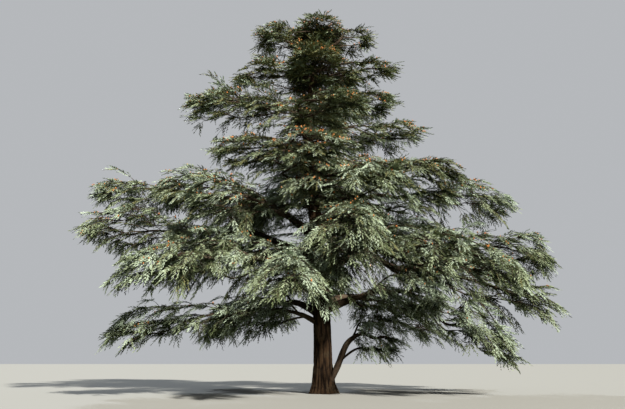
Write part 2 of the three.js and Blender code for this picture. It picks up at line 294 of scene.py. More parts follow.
for tier in tiers:
    limbs[tier] = []
    for cuts in cuts_of(tier, trunk_middle(shapes[tier][0][:, 2].mean())):
        depth = cuts[:, 3] - cuts[:, 2]
        shelf_depth = np.interp(cuts[:, 2].mean(), SHELF_HEIGHTS, SHELF_DEPTHS)
        shelves = max(2, round(float(np.median(depth) / shelf_depth)))
        on_trunk = carrier_of(tier) == "trunk"
        lowest, highest = TRUNK_LEVELS if on_trunk else LEVELS
        levels = lowest + (highest - lowest) * (np.arange(shelves) + 0.5) / shelves
        opening = 1 if on_trunk else OPENING[:len(cuts)]
        main = None
        for level in levels[np.argsort(np.abs(levels - LIMB_LEVEL))]:
            height = LIMB_LEVEL + (level - LIMB_LEVEL) * opening
            line = np.column_stack([cuts[:, :2], cuts[:, 2] + height * depth])
            line += chance.normal(0, SWAY, line.shape)
            if main is None:
                tip = line[-1] + (line[-1] - line[-2]) * chance.uniform(*TIP_SHARE)
                line = np.concatenate([line, tip[None]])
            bare, radii = bare_part(tier, line, main)
            taper = np.linspace(radii[-1], TIP_RADIUS, len(line) + 1)[1:]
            path = smooth_path([*bare, *line], [*radii, *taper])
            limbs[tier].append((path, level))
            main = path if main is None else main
print("limbs:", sum(len(paths) for paths in limbs.values()))
print("longest limb, stops:", max(len(path) for paths in limbs.values() for path, _ in paths))

# %% [markdown]
# ## Side branches
# Along each limb, side branches leave to the left and the right, slanting forwards. In a cedar they fan
# out flat, one fan above the other, and that is what gives the tree its shelves. A ray shot through the
# tier, and on into tiers that touch it, says how long a branch can grow, so the crown keeps its outline
# and its wide gaps stay open. Some branches stand up from a tier or hang below it, which makes the narrow
# gaps ragged. Branches arch a little and then hang, most of all low down in the tree.

# %% Find the way through the crown
LONGEST_BRANCH = 3.0
BRIDGE = 0.25  # the widest gap that a branch grows across, from one tier into the next
SKIN = 0.002  # the small step that takes a ray past the face it has met
corners = np.concatenate([shapes[tier][0] for tier in tiers])
counts = np.cumsum([0] + [len(shapes[tier][0]) for tier in tiers])
triangles = np.concatenate([shapes[tier][1] + start for tier, start in zip(tiers, counts)])
crown = BVHTree.FromPolygons(corners.tolist(), triangles.tolist())
print("faces round the crown:", len(triangles))


def inside_crown(point):
    """Whether a point lies in a tier: the first face above it is then a roof, which faces up."""
    normal = crown.ray_cast(list(point), list(UP))[1]
    return normal is not None and normal.z > 0


def reach_through(start, direction):
    """How far a branch can grow in a direction from inside a tier, and on into tiers that touch it."""
    total = 0.0
    while total < LONGEST_BRANCH:
        total += (reach(crown, start + direction * total, direction) or 0) + SKIN
        gap = reach(crown, start + direction * total, direction, BRIDGE)
        if gap is None:
            break
        total += gap + SKIN
    return min(total, LONGEST_BRANCH)


# %% Grow the side branches
SIDE_SPACING = 3  # in stops
BARE_STOPS = 3  # at either end of a limb
AROUND = 2  # stops to either side, over which a branch's place and its limb's direction are taken
LIMB_END = (12, 6, 1)  # stops before a limb's end: its last stretch bears sprays as a side branch does
SPLAY = (60, 28)  # degrees from the limb, at its root and at its tip
SPLAY_SPREAD = 8
REACH = (0.68, 1.12)  # of the way to the tier's rim, changing slowly from branch to branch
LOBE_STOPS = 9  # stops from one such change to the next
REACH_VARIETY = (0.88, 1.08)
TIP_LENGTH = 0.5  # what the sprays add to a branch
RISE = 0.04  # how steeply the branches of a tier's underside rise
SLOPE = 0.16  # how much more those of its top shelf run down, towards its rim
TILT = 0.17  # and how much that differs from branch to branch
TURNED_HEIGHTS, TURNED = (3.5, 6, 11), (0, 0.35, 0.5)  # the share of branches that may turn up or down
TURNED_PART = 0.75  # of a limb's length, past which none is
UPTURN, UPTURN_LEVEL = 0.55, 0.5  # how steeply they stand up, and from which level on
DOWNTURN, DOWNTURN_LEVEL = 0.7, 0.3  # how steeply they hang, and up to which level
TURNED_LENGTH = (0.6, 1.6)
SHORTEST = 0.2
BARE_SHARE = 0.4  # of a limb's length, where it has no branches outside its tier
STRAYS = (0.3, 0.8)  # metres that a branch grows outside its tier
ARCH = 0.09
DROOP_HEIGHTS, DROOPS = (9, 14, 21), (0.42, 0.22, 0.05)  # how much foliage hangs at these heights
SAG_SHARE, SAG_SPREAD = 0.5, 0.05  # a side branch's share of that, and how much it differs
branch_rows, limb_rows = [], []


def side_branch(path, at, side, level, lobe, on_bough):
    """The side branch that leaves a limb at a stop, as (root, bend, tip), or nothing where it stays too
    short. It grows to a share, lobe, of the way to the rim. Then the limb's place and direction there, or
    nothing outside the tiers."""
    root = path[at, :3]
    inside = inside_crown(root)
    if not inside and at < BARE_SHARE * len(path):
        return [], []
    ahead = unit((path[at + AROUND, :3] - path[at - AROUND, :3]) * LEVEL)
    splay = math.radians(np.interp(at / len(path), (0, 1), SPLAY) + chance.normal(0, SPLAY_SPREAD))
    out = ahead * math.cos(splay) + np.cross(UP, ahead) * side * math.sin(splay)
    out = unit(out + UP * (chance.normal(RISE, TILT) - SLOPE * level))
    turned = chance.random() < np.interp(root[2], TURNED_HEIGHTS, TURNED)
    turned = turned and on_bough and inside and at < TURNED_PART * len(path)
    free = reach_through(root, out) if inside else 0
    length = free * lobe * chance.uniform(*REACH_VARIETY) - TIP_LENGTH
    length = length if inside else chance.uniform(*STRAYS)
    if turned and (level > UPTURN_LEVEL or level < DOWNTURN_LEVEL):
        out = unit(out + UP * (UPTURN if level > UPTURN_LEVEL else -DOWNTURN))
        length = chance.uniform(*TURNED_LENGTH)
    on_limb = [*root, *ahead] if inside else []
    if length < SHORTEST:
        return [], on_limb
    sag = SAG_SHARE * np.interp(root[2], DROOP_HEIGHTS, DROOPS) + chance.normal(0, SAG_SPREAD)
    bend = root + (out / 2 + UP * ARCH) * length
    tip = root + (out - UP * sag) * length
    return [*root, *bend, *tip], on_limb


for number, tier in enumerate(tiers):
    on_bough = carrier_of(tier) != "trunk"
    for path, level in limbs[tier]:
        last_stretch = [path[max(len(path) - stop, 0), :3] for stop in LIMB_END]
        branch_rows.append([*np.ravel(last_stretch), level, number])
        lobes = chance.uniform(*REACH, (2, len(path) // LOBE_STOPS + 2))
        stops = range(BARE_STOPS, len(path) - BARE_STOPS, SIDE_SPACING)
        for stop, side in itertools.product(stops, (1, -1)):
            at = stop + chance.integers(-AROUND, AROUND + 1)
            at = int(np.clip(at, AROUND, len(path) - AROUND - 1))
            lobe = np.interp(at / LOBE_STOPS, np.arange(lobes.shape[1]), lobes[(side + 1) // 2])
            branch, on_limb = side_branch(path, at, side, level, lobe, on_bough)
            if on_limb:
                limb_rows.append([*on_limb, side, level, number])
            if branch:
                branch_rows.append([*branch, level, number])
print("on limbs:", len(branch_rows))

# %% [markdown]
# Short branches also grow straight from the trunk, from a third of its height to its top, and fill the
# crown round it. A golden turn of 137.5 degrees from each one to the next spreads them evenly, as on a
# real shoot. They crowd towards the left and are longer there, where the real crown is fuller.

# %% Grow branches from the trunk
LONGEST_TRUNK_BRANCH = 1.3
TRUNK_BRANCH_VARIETY = (0.6, 1.1)
LEFT_REACH = 1.5  # how much longer they are on the left
TOP_SHAPE = 0.5  # the length of a branch near the top, for each metre below it
BELOW_TOP, TRUNK_RISES = (0, 1.2, 4), (0.5, 0.3, 0.1)  # how steeply they rise, this far below the top
TRUNK_SAG = 0.12
TRUNK_BRANCH_STEP = 0.13
LOWEST, HIGHEST = TRUNK_TOP / 3, TRUNK_TOP - 0.15
GOLDEN_TURN = math.radians(137.5)
LEANING = 0.5  # how far the branches' bearings crowd towards the left
HOSTS = {"high_front": 14, "crown_front": 17.5, "head_middle": math.inf}  # their tier, up to a height
FAN_VARIETY = 0.4  # how much the sprays of one branch are lighter or darker than the next one's


def trunk_branch(height, turn):
    """A branch straight from the trunk: from the middle at a height, the steeper the nearer to the top."""
    root = trunk_middle(height)
    below_top = TRUNK_TOP - height
    out = unit(np.array([math.cos(turn), math.sin(turn), np.interp(below_top, BELOW_TOP, TRUNK_RISES)]))
    length = min(TOP_SHAPE * below_top, LONGEST_TRUNK_BRANCH) * chance.uniform(*TRUNK_BRANCH_VARIETY)
    length *= 1 + LEFT_REACH * max(-math.cos(turn), 0)
    tip = root + (out - UP * TRUNK_SAG) * length
    return [*root, *(root + out * length / 2), *tip, chance.uniform(0, 1)]


for count, height in enumerate(np.arange(LOWEST, HIGHEST, TRUNK_BRANCH_STEP)):
    turn = count * GOLDEN_TURN
    host = next(tier for tier, top in HOSTS.items() if height < top)
    branch_rows.append([*trunk_branch(height, turn + LEANING * math.sin(turn)), tiers.index(host)])
branch_rows, limb_rows = np.array(branch_rows), np.array(limb_rows)
roots, bends, tips = branch_rows[:, 0:3], branch_rows[:, 3:6], branch_rows[:, 6:9]
branch_level = 2 * branch_rows[:, 9] - 1 + chance.normal(0, FAN_VARIETY, len(branch_rows))
branch_tier = branch_rows[:, 10].astype(int)
branch_length = np.linalg.norm(tips - roots, axis=1)
print("side branches:", len(roots), "mean length:", round(float(branch_length.mean()), 2))


def on_branch(branch, share):
    """Points and directions at a share of the way along branches: the curve (1-s)²A + 2s(1-s)B + s²C."""
    a, b, c, s = roots[branch], bends[branch], tips[branch], share[:, None]
    point = (1 - s) ** 2 * a + 2 * s * (1 - s) * b + s**2 * c
    return point, unit((1 - s) * (b - a) + s * (c - b))


def shelf_of(branch):
    """The levels of branches, and the numbers of their tiers."""
    return branch_level[branch], branch_tier[branch]


# %% [markdown]
# ## Sprays
# The needles sit on short shoots, and a shoot with its needles is a spray. Sprays leave the side
# branches by turns to the left and the right, all in the plane of the shelf, a few more close each tip,
# and a few more stand on the limb itself at each branch's root. They hang more towards the rim and lower
# down in the tree, where the boughs are old and heavy.

# %% Grow the sprays
SPRAY_SPACING = 0.28
BARE_ROOT, LAST_SPRAY = 0.2, 0.98  # the shares of a side branch between which it has sprays
WITHIN_STEP = (0.1, 0.9)  # where a spray stands within its own stretch
SPRAY_SPLAY = (46, 22)  # degrees from the branch, at its root and at its tip
SPRAY_SPREAD = 6
TIP_FAN = (-28, 0, 28)  # degrees from the branch, for the sprays that close its tip
LIMB_FAN = (6, 32, 60)  # and from the limb, for the sprays on it
FAN_SPREAD = 7
SPRAY_LENGTH = (0.42, 0.72)
TIP_STRETCH = 0.2  # how much longer the sprays grow from a branch's root to its tip
FAN_STRETCH = 1.1
LIMB_STRETCH = 0.85
FAN_PLACE = 0.97  # the share of a side branch at which its tip's fan stands
LIMB_PLACE = 0.4  # sprays on a limb hang and shine as the ones at this share of a side branch
SPRAY_RISE, LEVEL_RISE, RISE_SPREAD = 0.1, 0.1, 0.08  # how steeply sprays rise, and those of higher shelves
ROOT_DROOP = 0.3  # the share of their droop that sprays have at a branch's root


def spray_rows(point, ahead, share, splay, side, level, tier, stretch):
    """Sprays (root, direction, length, level, share, tier), slanting from their branches and hanging."""
    aside = unit(np.cross(ahead, UP)) * side[:, None]
    slant = np.radians(splay)[:, None]
    droop = np.interp(point[:, 2], DROOP_HEIGHTS, DROOPS) * (ROOT_DROOP + (1 - ROOT_DROOP) * share)
    rise = SPRAY_RISE + LEVEL_RISE * level - droop + chance.normal(0, RISE_SPREAD, len(share))
    direction = unit(ahead * np.cos(slant) + aside * np.sin(slant) + UP * rise[:, None])
    length = chance.uniform(*SPRAY_LENGTH, len(share)) * stretch
    return np.column_stack([point, direction, length, level, share, tier])


per_side = np.maximum(2, np.round(branch_length * (1 - BARE_ROOT) / SPRAY_SPACING)).astype(int)
branch = np.repeat(np.arange(len(roots)), 2 * per_side)  # each one as often as it has sprays
order = np.arange(len(branch)) - np.repeat(np.cumsum(2 * per_side) - 2 * per_side, 2 * per_side)
step = order // 2 + chance.uniform(*WITHIN_STEP, len(order))
share = BARE_ROOT + (LAST_SPRAY - BARE_ROOT) * step / per_side[branch]
side = np.where(order % 2 == 0, 1.0, -1.0)
splay = np.interp(share, (0, 1), SPRAY_SPLAY) + chance.normal(0, SPRAY_SPREAD, len(share))
stretch = 1 + TIP_STRETCH * share
along_branches = spray_rows(*on_branch(branch, share), share, splay, side, *shelf_of(branch), stretch)
branch = np.repeat(np.arange(len(roots)), len(TIP_FAN))
fan = np.tile(TIP_FAN, len(roots)) + chance.normal(0, FAN_SPREAD, len(branch))
share = np.full(len(branch), FAN_PLACE)
side = np.sign(fan)
at_tips = spray_rows(*on_branch(branch, share), share, np.abs(fan), side, *shelf_of(branch), FAN_STRETCH)
at = np.repeat(limb_rows, len(LIMB_FAN), axis=0)
fan = np.tile(LIMB_FAN, len(limb_rows)) + chance.normal(0, FAN_SPREAD, len(at))
share = np.full(len(at), LIMB_PLACE)
along_limbs = spray_rows(
    at[:, 0:3], at[:, 3:6], share, fan, at[:, 6], 2 * at[:, 7] - 1, at[:, 8].astype(int), LIMB_STRETCH
)
sprays = np.concatenate([along_branches, at_tips, along_limbs])
print("sprays:", len(sprays), "of them at tips:", len(at_tips), "on limbs:", len(along_limbs))

# %% [markdown]
# Light reaches a crown unevenly, and where it doesn't, sprays stay thin and die. So foliage stands in
# clumps with dark hollows between them. A smooth noise through space says where the hollows are: sprays
# where it is low are left out, and the ones next to those take a darker tint, which is painted shade in
# the hollows. There are more hollows towards the top, and in the tiers that the trunk carries.

# %% Thin the sprays to clumps
CLUMP = np.array([0.95, 0.95, 0.5])  # metres from one chance height to the next, along x, y and z
HOLLOW_HEIGHTS, HOLLOWS = (4, 13, 18), (0.27, 0.29, 0.31)  # the noise below which there are no sprays
HOLLOW_TRUNK = 0.08  # and how much more that is in the trunk's own tiers
NOISE_CELLS = 41
CLUMP_SEED = 5


def noise_at(points, seed):
    """Smooth noise between 0 and 1: chance heights at the corners of unit cubes, blended by 3t² - 2t³."""
    heights = np.random.default_rng(seed).random((NOISE_CELLS,) * 3)
    whole = np.floor(points).astype(int)
    share = points - whole
    share = share * share * (3 - 2 * share)
    total = np.zeros(len(points))
    for corner in np.ndindex(2, 2, 2):
        weight = np.where(corner, share, 1 - share).prod(axis=1)
        x, y, z = ((whole + corner) % NOISE_CELLS).T
        total += weight * heights[x, y, z]
    return total


clump = noise_at(sprays[:, :3] / CLUMP, CLUMP_SEED)
round_trunk = np.array([carrier_of(tier) == "trunk" for tier in tiers])[sprays[:, 9].astype(int)]
lit = clump > np.interp(sprays[:, 2], HOLLOW_HEIGHTS, HOLLOWS) + HOLLOW_TRUNK * round_trunk
sprays, clump = sprays[lit], clump[lit]
print("sprays left:", len(sprays))

# %% [markdown]
# ## Meshes from arrays
# A limb is a tube: rings of corners round each stop of a path, closed by a corner at each end. A needle
# is a folded kite: four corners, two faces, with its ridge along the middle. Both are worked out for all
# their copies at once, as whole arrays, and one mesh holds thousands of them.

# %% Tubes and blades
STEEP = 0.8  # past this rise a tube's sides are measured from the x axis, because UP lies along it
WAIST, FOLD = 0.4, 0.25  # where a blade is widest along its length, and how deep its fold is in widths


def tubes(points, radii, sides):
    """Corners and triangles of closed tubes. A ring's corner k of n is at middle + radius times
    (cos(2πk/n) side + sin(2πk/n) up), where side and up are square to the tube's direction there.
    points is (tubes, rings, 3). radii is (tubes, rings) or (tubes, rings, sides)."""
    count, rings = points.shape[:2]
    ahead = unit(np.gradient(points, axis=1))
    steep = np.abs(ahead[..., 2]).mean(1) > STEEP
    reference = np.where(steep[:, None, None], [1.0, 0, 0], UP)
    side = unit(np.cross(ahead, reference))
    up = np.cross(ahead, side)
    angle = np.linspace(0, 2 * math.pi, sides, endpoint=False)[:, None]
    radii = radii.reshape(count, rings, -1, 1)
    ring = points[:, :, None] + radii * (np.cos(angle) * side[:, :, None] + np.sin(angle) * up[:, :, None])
    corners = np.concatenate([ring.reshape(count, -1, 3), points[:, :1], points[:, -1:]], axis=1)
    here = np.arange(rings - 1)[:, None] * sides + np.arange(sides)
    beside = np.arange(rings - 1)[:, None] * sides + np.roll(np.arange(sides), -1)
    first, last = np.arange(sides), np.arange(sides) + (rings - 1) * sides
    start, end = np.full(sides, rings * sides), np.full(sides, rings * sides + 1)
    one = np.concatenate([
        np.stack([here, beside, beside + sides], axis=-1).reshape(-1, 3),
        np.stack([here, beside + sides, here + sides], axis=-1).reshape(-1, 3),
        np.stack([start, np.roll(first, -1), first], axis=-1),
        np.stack([end, last, np.roll(last, -1)], axis=-1),
    ])
    offsets = np.arange(count)[:, None, None] * (rings * sides + 2)
    return corners.reshape(-1, 3), (one + offsets).reshape(-1, 3)


def blades(base, direction, length, width, up):
    """Corners and triangles of folded kites: base, left, tip, right. Their sides are at a waist along
    their length, half a width to either side of the ridge and lower than it by the fold."""
    across = unit(np.cross(direction, up))
    face = np.cross(across, direction)
    waist = base + direction * length * WAIST - face * width * FOLD
    left, right = waist + across * width / 2, waist - across * width / 2
    corners = np.stack([base, left, base + direction * length, right], axis=-2).reshape(-1, 3)
    kites = np.arange(len(corners) // 4)[:, None, None] * 4
    return corners, (kites + np.array([[0, 1, 2], [0, 2, 3]])).reshape(-1, 3)


made = {}  # the triangles of each piece


def new_piece(name, corners, triangles, material, nodes, smooth=True):
    """A mesh object from arrays of corners and triangles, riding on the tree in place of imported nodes."""
    mesh = bpy.data.meshes.new(name)
    mesh.vertices.add(len(corners))
    mesh.vertices.foreach_set("co", corners.astype(np.float32).ravel())
    mesh.loops.add(triangles.size)
    mesh.loops.foreach_set("vertex_index", triangles.astype(np.int32).ravel())
    mesh.polygons.add(len(triangles))
    mesh.polygons.foreach_set("loop_start", np.arange(0, triangles.size, 3, dtype=np.int32))
    mesh.polygons.foreach_set("use_smooth", np.full(len(triangles), smooth))
    mesh.update(calc_edges=True)
    mesh.materials.append(material)
    piece = bpy.data.objects.new(name, mesh)
    bpy.context.scene.collection.objects.link(piece)
    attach(piece, "root")
    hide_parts(*nodes)
    made[name] = len(triangles)
    return piece


def triangles_of(*kinds):
    """How many triangles the pieces have whose names start with one of the kinds."""
    return sum(count for name, count in made.items() if name.startswith(kinds))


# %% [markdown]
# ## Finishes
# The bark is dark brown, with painted light on the raised edges of its plates and painted shade, nearly
# black, in its cracks, and grey patches of lichen. The trunk's bark is darker than the limbs' as painted
# shade of the crown. It follows the relief, so the mesh carries the relief's height as an attribute that
# the material reads. The needles of one spray are all of a colour, and it is chosen spray by spray, so
# each tint is a plain colour on a mesh of its own. All tints but olive are lit and shaded copies of one
# colour: painted sunlight on the palest, painted shade on the darkest.

# %% Shader arithmetic
MIX_FACTOR, MIX_FIRST, MIX_SECOND, MIX_RESULT = 0, 6, 7, 2  # a Mix node's sockets for colours


class Wire:
    """One output of a shader node, so that shader maths reads as plain arithmetic."""

    def __init__(self, nodes, socket):
        self.nodes, self.socket = nodes, socket

    def make(self, kind, settings, inputs, output=0):
        """Adds a node of a kind: its settings, then its sockets, each a number, a colour or a Wire."""
        node = self.nodes.new(kind)
        for name, value in settings.items():
            setattr(node, name, value)
        for name, value in inputs.items():
            if isinstance(value, Wire):
                self.nodes.id_data.links.new(value.socket, node.inputs[name])
            else:
                node.inputs[name].default_value = value
        return Wire(self.nodes, node.outputs[output])

    def maths(self, operation, first, second):
        return self.make("ShaderNodeMath", {"operation": operation}, {0: first, 1: second})

    def between(self, low, high):
        """0 where this is below low, 1 where it is above high, and an even slope from one to the other."""
        return self.make("ShaderNodeMapRange", {}, {0: self, 1: low, 2: high})

    def noise(self, scale, detail):
        """Noise at the place that this carries."""
        return self.make("ShaderNodeTexNoise", {}, {"Vector": self, "Scale": scale, "Detail": detail})

    def __add__(self, other):
        return self.maths("ADD", self, other)

    def __mul__(self, other):
        return self.maths("MULTIPLY", self, other)

    def __sub__(self, other):
        return self.maths("SUBTRACT", self, other)

    def __rsub__(self, other):
        return self.maths("SUBTRACT", other, self)

    __radd__, __rmul__ = __add__, __mul__


# %% Materials for bark and for plain pieces
GLOSS = 0.3  # of everything but bark


def new_material(name, roughness, gloss=GLOSS):
    """A material with one Principled shader, its roughness and gloss set, and its nodes."""
    material = bpy.data.materials.new(name)
    material.use_nodes = True
    nodes = material.node_tree.nodes
    shader = next(node for node in nodes if node.type == "BSDF_PRINCIPLED")
    shader.inputs["Roughness"].default_value = roughness
    shader.inputs["Specular IOR Level"].default_value = gloss
    return material, shader, nodes


def mixed(factor, first, second):
    """The mix of two colours, each an (r, g, b) or a Wire, by a factor Wire."""
    first, second = ((*c, 1.0) if isinstance(c, tuple) else c for c in (first, second))
    sockets = {MIX_FACTOR: factor, MIX_FIRST: first, MIX_SECOND: second}
    return factor.make("ShaderNodeMix", {"data_type": "RGBA"}, sockets, MIX_RESULT)


BARK_GLOSS = 0.08
RELIEF_WEIGHT, MOTTLE_WEIGHT, DARKENING = 0.8, 0.5, 0.15  # together they say how high a place counts
PLATE_RISE, EDGE_RISE = (0.1, 0.5), (0.5, 0.95)  # the heights over which one colour passes into the next
LICHEN_RISE = (0.52, 0.68)  # the noise over which lichen sets in


def bark_material(name, crack, plate, lit_edge, lichen):
    """Bark that runs from crack to plate to edge with its relief, mottled, with patches of lichen. The
    cracks are painted shade and the edges painted light.
    """
    material, shader, nodes = new_material(name, roughness=0.95, gloss=BARK_GLOSS)
    place = Wire(nodes, nodes.new("ShaderNodeTexCoord").outputs["Object"])
    relief = place.make("ShaderNodeAttribute", {"attribute_name": "relief"}, {}, "Fac")
    mottle = place.noise(scale=11.0, detail=5.0)
    height = relief * RELIEF_WEIGHT + mottle * MOTTLE_WEIGHT - DARKENING
    on_plate, on_edge = height.between(*PLATE_RISE), height.between(*EDGE_RISE)
    grey = place.noise(scale=1.7, detail=4.0).between(*LICHEN_RISE)
    # the colour darkens into the cracks as painted shade and pales on the raised edges as painted light
    bare = mixed(on_edge, mixed(on_plate, crack, plate), lit_edge)
    colour = mixed(grey * on_edge, bare, lichen)
    material.node_tree.links.new(colour.socket, shader.inputs["Base Color"])
    fine = place.noise(scale=45.0, detail=4.0)
    bump = fine.make("ShaderNodeBump", {}, {"Height": fine, "Strength": 0.5, "Distance": 0.01})
    material.node_tree.links.new(bump.socket, shader.inputs["Normal"])
    return material


def plain_material(name, colour, roughness):
    """One colour all over, for small things that are dealt out by tint."""
    material, shader, _ = new_material(name, roughness)
    shader.inputs["Base Color"].default_value = (*colour, 1)
    return material


# %% All the finishes
# The trunk's bark is much darker than the limbs' as painted shade of the crown over it
SHADED_TRUNK_BARK = bark_material(
    "trunk_bark",
    crack=(0.002, 0.0012, 0.0008),
    plate=(0.009, 0.005, 0.003),
    lit_edge=(0.033, 0.019, 0.01),
    lichen=(0.034, 0.027, 0.017),
)
LIMB_BARK = bark_material(
    "limb_bark",
    crack=(0.008, 0.006, 0.004),
    plate=(0.025, 0.017, 0.012),
    lit_edge=(0.065, 0.045, 0.032),
    lichen=(0.12, 0.105, 0.078),
)
TWIG_BARK = plain_material("twig_bark", (0.045, 0.03, 0.02), roughness=0.9)
CONE = plain_material("cone_scales", (0.44, 0.16, 0.045), roughness=0.8)
# All but olive are lit and shaded copies of one needle colour: the palest is painted sunlight, the darker
# ones painted shade
TINT_LOOKS = {  # the colour and the roughness of each tint
    "deep": ((0.024, 0.033, 0.017), 0.7),
    "green": ((0.088, 0.112, 0.05), 0.6),
    "sage": ((0.235, 0.283, 0.178), 0.6),
    "silver": ((0.345, 0.42, 0.32), 0.6),
    "olive": ((0.165, 0.165, 0.07), 0.6),
}
TINTS = {name: plain_material(f"needles_{name}", *look) for name, look in TINT_LOOKS.items()}
print("materials:", len(bpy.data.materials))

# %% [markdown]
# ## Bark
# Old cedar bark is broken by upright cracks into narrow plates, and lower down the whole trunk has
# shallow flutes below its boughs. A picture could fake that, but in slanting light it is real relief
# that shows, so the mesh itself carries it. The relief is lattice noise: chance heights on a grid round and
# along the limb, blended smoothly between. Where two such noises cross their middle value lie the cracks.

# %% Relief for bark
LATTICE_ROWS = 997
CRACK_WIDTHS, CRACK_DEPTHS = (0.1, 0.06), (0.7, 0.3)  # of upright and of slanting cracks
SLANTS = 2  # slanting cracks to each upright one, along the limb
GRAIN = 0.35  # how much finer relief there is on the plates
GRAINS_ROUND, GRAINS_ALONG = 3, 4  # to each plate, round the limb and along it


def lattice(across, along, columns, seed):
    """Smooth relief between 0 and 1 that closes up round the limb: chance heights at whole numbers,
    blended by 3t² - 2t³ between them. across counts from 0 to columns."""
    heights = np.random.default_rng(seed).random((columns, LATTICE_ROWS))
    i, j = np.floor(across).astype(int), np.floor(along).astype(int)
    s, t = across - i, along - j
    s, t = s * s * (3 - 2 * s), t * t * (3 - 2 * t)
    i, after = i % columns, (i + 1) % columns
    j, beyond = j % LATTICE_ROWS, (j + 1) % LATTICE_ROWS
    low = heights[i, j] * (1 - s) + heights[after, j] * s
    high = heights[i, beyond] * (1 - s) + heights[after, beyond] * s
    return low * (1 - t) + high * t


def bark_relief(turn, along, plates, plate_length, seed):
    """From 0 in a crack to 1 on a plate. turn runs from 0 to 1 round the limb, along is in metres. A crack
    is as deep as exp(-(distance of the noise from its middle value / width)²)."""
    upright = lattice(turn * plates, along / plate_length, plates, seed)
    slanting = lattice(turn * plates + along, along / plate_length * SLANTS, plates, seed + 1)
    crack = sum(
        np.exp(-((np.abs(noise - 0.5) / width) ** 2)) * depth
        for noise, width, depth in zip((upright, slanting), CRACK_WIDTHS, CRACK_DEPTHS)
    )
    fine_turn, fine_along = turn * plates * GRAINS_ROUND, along / plate_length * GRAINS_ALONG
    grain = lattice(fine_turn, fine_along, plates * GRAINS_ROUND, seed + 2)
    return np.clip(1 - crack + GRAIN * (grain - 0.5), 0, 1)


def add_relief(piece, relief):
    """Keeps the relief on the mesh, corner by corner, for its material to read."""
    layer = piece.data.attributes.new("relief", "FLOAT", "POINT")
    layer.data.foreach_set("value", relief.astype(np.float32).ravel())


# %% The trunk
TRUNK_ROWS = 420
ROW_CROWDING = 1.25  # rows, too, lie closer together near the foot
TRUNK_PLATES, TRUNK_PLATE_LENGTH, TRUNK_SEED = 26, 1.1, 3
FLUTES, FLUTE_LENGTH, FLUTE_SEED = 7, 2.2, 9
CRACK_DEPTH, FLUTE_DEPTH = 0.07, 0.1  # of the radius
CAP_RELIEF = [0.5, 0.5]  # the relief at the two corners that close a tube's ends
row_heights = TRUNK_TOP * np.linspace(0, 1 - END_GAP, TRUNK_ROWS) ** ROW_CROWDING
turn, tall = np.meshgrid(np.arange(TRUNK_COLUMNS) / TRUNK_COLUMNS, row_heights)
columns = [np.interp(row_heights, slice_heights, column) for column in trunk_slices[:, 2:].T]
relief = bark_relief(turn, tall, TRUNK_PLATES, TRUNK_PLATE_LENGTH, TRUNK_SEED)
flutes = lattice(turn * FLUTES, tall / FLUTE_LENGTH, FLUTES, FLUTE_SEED) - 0.5
radius = np.stack(columns, axis=1) * (1 - CRACK_DEPTH * (1 - relief) + FLUTE_DEPTH * flutes)
middles = trunk_middle(row_heights)
ring = np.stack([np.cos(turn * 2 * math.pi), np.sin(turn * 2 * math.pi), np.zeros_like(turn)], axis=-1)
corners = (middles[:, None] + radius[..., None] * ring).reshape(-1, 3)
_, triangles = tubes(middles[None], np.ones((1, TRUNK_ROWS)), TRUNK_COLUMNS)
corners = np.concatenate([corners, middles[:1], middles[-1:]])
piece = new_piece("bark_trunk", corners, triangles, SHADED_TRUNK_BARK, ["trunk"])
add_relief(piece, np.append(relief, CAP_RELIEF))
print("trunk triangles:", made["bark_trunk"])

# %% The limbs
LIMB_SIDES = (14, 7)  # of a tier's first limb, and of its forks
FORK_STOPS = 2  # forks keep every second stop
LIMB_PLATES, LIMB_PLATE_LENGTH, LIMB_SEED = 8, 0.5, 20
KNOTS, KNOT_LENGTH, KNOT_SEED = 3, 0.9, 60
LIMB_CRACK_DEPTH, KNOT_HEIGHT = 0.12, 0.22  # of the radius
for tier in tiers:
    carrier = carrier_of(tier)
    parts, heights, offset = [], [], 0
    for number, (path, _) in enumerate(limbs[tier]):
        sides = LIMB_SIDES[number > 0]
        spacing = STOP_SPACING * (FORK_STOPS if number else 1)
        path = path[::FORK_STOPS] if number else path
        turn = np.broadcast_to(np.arange(sides) / sides, (len(path), sides))
        along = np.broadcast_to(np.arange(len(path))[:, None] * spacing, turn.shape)
        relief = bark_relief(turn, along, LIMB_PLATES, LIMB_PLATE_LENGTH, LIMB_SEED + tiers.index(tier))
        knots = lattice(turn * KNOTS, along / KNOT_LENGTH, KNOTS, KNOT_SEED + tiers.index(tier)) - 0.5
        radius = path[:, 3:] * (1 - LIMB_CRACK_DEPTH * (1 - relief) + KNOT_HEIGHT * knots)
        corners, triangles = tubes(path[None, :, :3], radius[None], sides)
        parts.append((corners, triangles + offset))
        heights.append(np.append(relief, CAP_RELIEF))
        offset += len(corners)
    corners, triangles = (np.concatenate(group) for group in zip(*parts))
    nodes = [f"foliage_{tier}"] + ([carrier] if carrier.startswith("bough") else [])
    piece = new_piece(f"limb_{tier}", corners, triangles, LIMB_BARK, nodes)
    add_relief(piece, np.concatenate(heights))
print("limb triangles:", triangles_of("limb"))

# %% [markdown]
# ## Branches, shoots, needles and cones
# The tree is split into five storeys, and each storey has one mesh of side branches, one of shoots, one
# of cones, and one of needles for each tint. The tints are painted light and shade: sprays on top of a
# shelf and out at its rim are silver as painted sunlight, the ones below and inside are green to nearly
# black as painted shade. The higher the storey, the more fade to olive.

# %% Side branches and shoots
STOREYS = {  # each storey, and how the names of its tiers start
    "low": ("base", "low"),
    "middle": ("mid",),
    "high": ("high",),
    "crown": ("crown", "upper"),
    "top": ("shelf", "head"),
}
BRANCH_SHARES = np.array([0, 0.33, 0.67, 1.0])  # where along a branch its rings are
BRANCH_TAPER = np.array([1, 0.75, 0.5, 0.2])
TWIG_GIRTH, TWIG_THICKENING = 0.011, 0.009  # a branch's radius, and how much each metre of it adds
TWIG_SIDES = 3
SHOOT_SHARE = 0.92  # of a spray's length, that its shoot runs to
SHOOT_WIDTH = 0.022


def storey_number(tier):
    """Which storey a tier belongs to, counted from the lowest."""
    return next(k for k, starts in enumerate(STOREYS.values()) if tier.startswith(starts))


